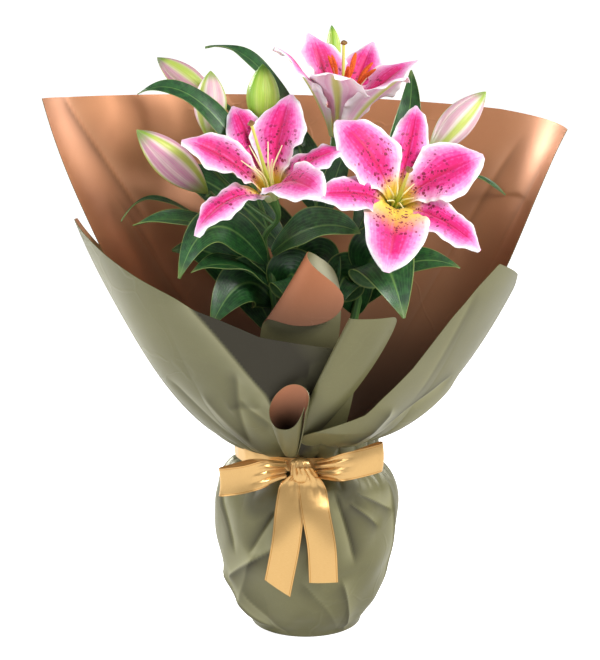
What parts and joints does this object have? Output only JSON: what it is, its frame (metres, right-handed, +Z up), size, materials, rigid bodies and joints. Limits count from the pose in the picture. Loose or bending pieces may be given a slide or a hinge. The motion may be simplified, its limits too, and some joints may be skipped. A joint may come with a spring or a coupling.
{
  "type": "gift-wrapped potted lily",
  "caption": "Potted pink lily with open flowers, buds and leaves, in a nursery pot wrapped in a flared two-tone paper collar tied with a satin bow.",
  "frame": {"origin": "centre of the wrapped pot's flat underside, on the surface that it stands on", "axes": "+Z up; -Y is the front, where the bow is; +X is to the right seen from the front"},
  "size_m": [0.5181, 0.3179, 0.602],
  "materials": {
    "pot_plastic": "matte",
    "potting_soil": "matte",
    "bulb": "matte",
    "stem": "satin",
    "petal": "satin",
    "pistil": "satin",
    "stamen": "matte",
    "bud_pink": "satin",
    "bud_green": "satin",
    "leaf": "satin",
    "wrapping_paper": "satin",
    "satin_ribbon": "satin"
  },
  "bodies": {
    "root": {"nursery_pot": "pot_plastic", "soil": "potting_soil", "bulb_left": "bulb", "stem_left": "stem", "bulb_right": "bulb", "stem_right": "stem", "bulb_back": "bulb", "stem_back": "stem", "lily_left_petal_1": "petal", "lily_left_sepal_1": "petal", "lily_left_petal_2": "petal", "lily_left_sepal_2": "petal", "lily_left_petal_3": "petal", "lily_left_sepal_3": "petal", "lily_left_pistil": "pistil", "lily_left_stamens": "stamen", "lily_right_petal_1": "petal", "lily_right_sepal_1": "petal", "lily_right_petal_2": "petal", "lily_right_sepal_2": "petal", "lily_right_petal_3": "petal", "lily_right_sepal_3": "petal", "lily_right_pistil": "pistil", "lily_right_stamens": "stamen", "lily_back_petal_1": "petal", "lily_back_sepal_1": "petal", "lily_back_petal_2": "petal", "lily_back_sepal_2": "petal", "lily_back_petal_3": "petal", "lily_back_sepal_3": "petal", "lily_back_pistil": "pistil", "lily_back_stamens": "stamen", "bud_left_low": "bud_pink", "bud_left_middle": "bud_pink", "bud_left_high": "bud_pink", "bud_green": "bud_green", "bud_right": "bud_pink", "bud_small": "bud_green", "leaf_arching": "leaf", "leaf_high": "leaf", "leaf_curled": "leaf", "leaf_left": "leaf", "leaf_drooping": "leaf", "leaf_centre": "leaf", "leaf_inner": "leaf", "leaf_large": "leaf", "leaf_between": "leaf", "leaf_right": "leaf", "wrap_pot_cover": "wrapping_paper", "wrap_back_sheet": "wrapping_paper", "wrap_left_sheet": "wrapping_paper", "wrap_right_sheet": "wrapping_paper", "wrap_inner_sheet": "wrapping_paper", "wrap_centre_roll": "wrapping_paper", "ribbon_band": "satin_ribbon", "ribbon_knot": "satin_ribbon", "bow_left_loop": "satin_ribbon", "bow_right_loop": "satin_ribbon", "bow_left_tail": "satin_ribbon", "bow_right_tail": "satin_ribbon"}
  },
  "joints": []
}
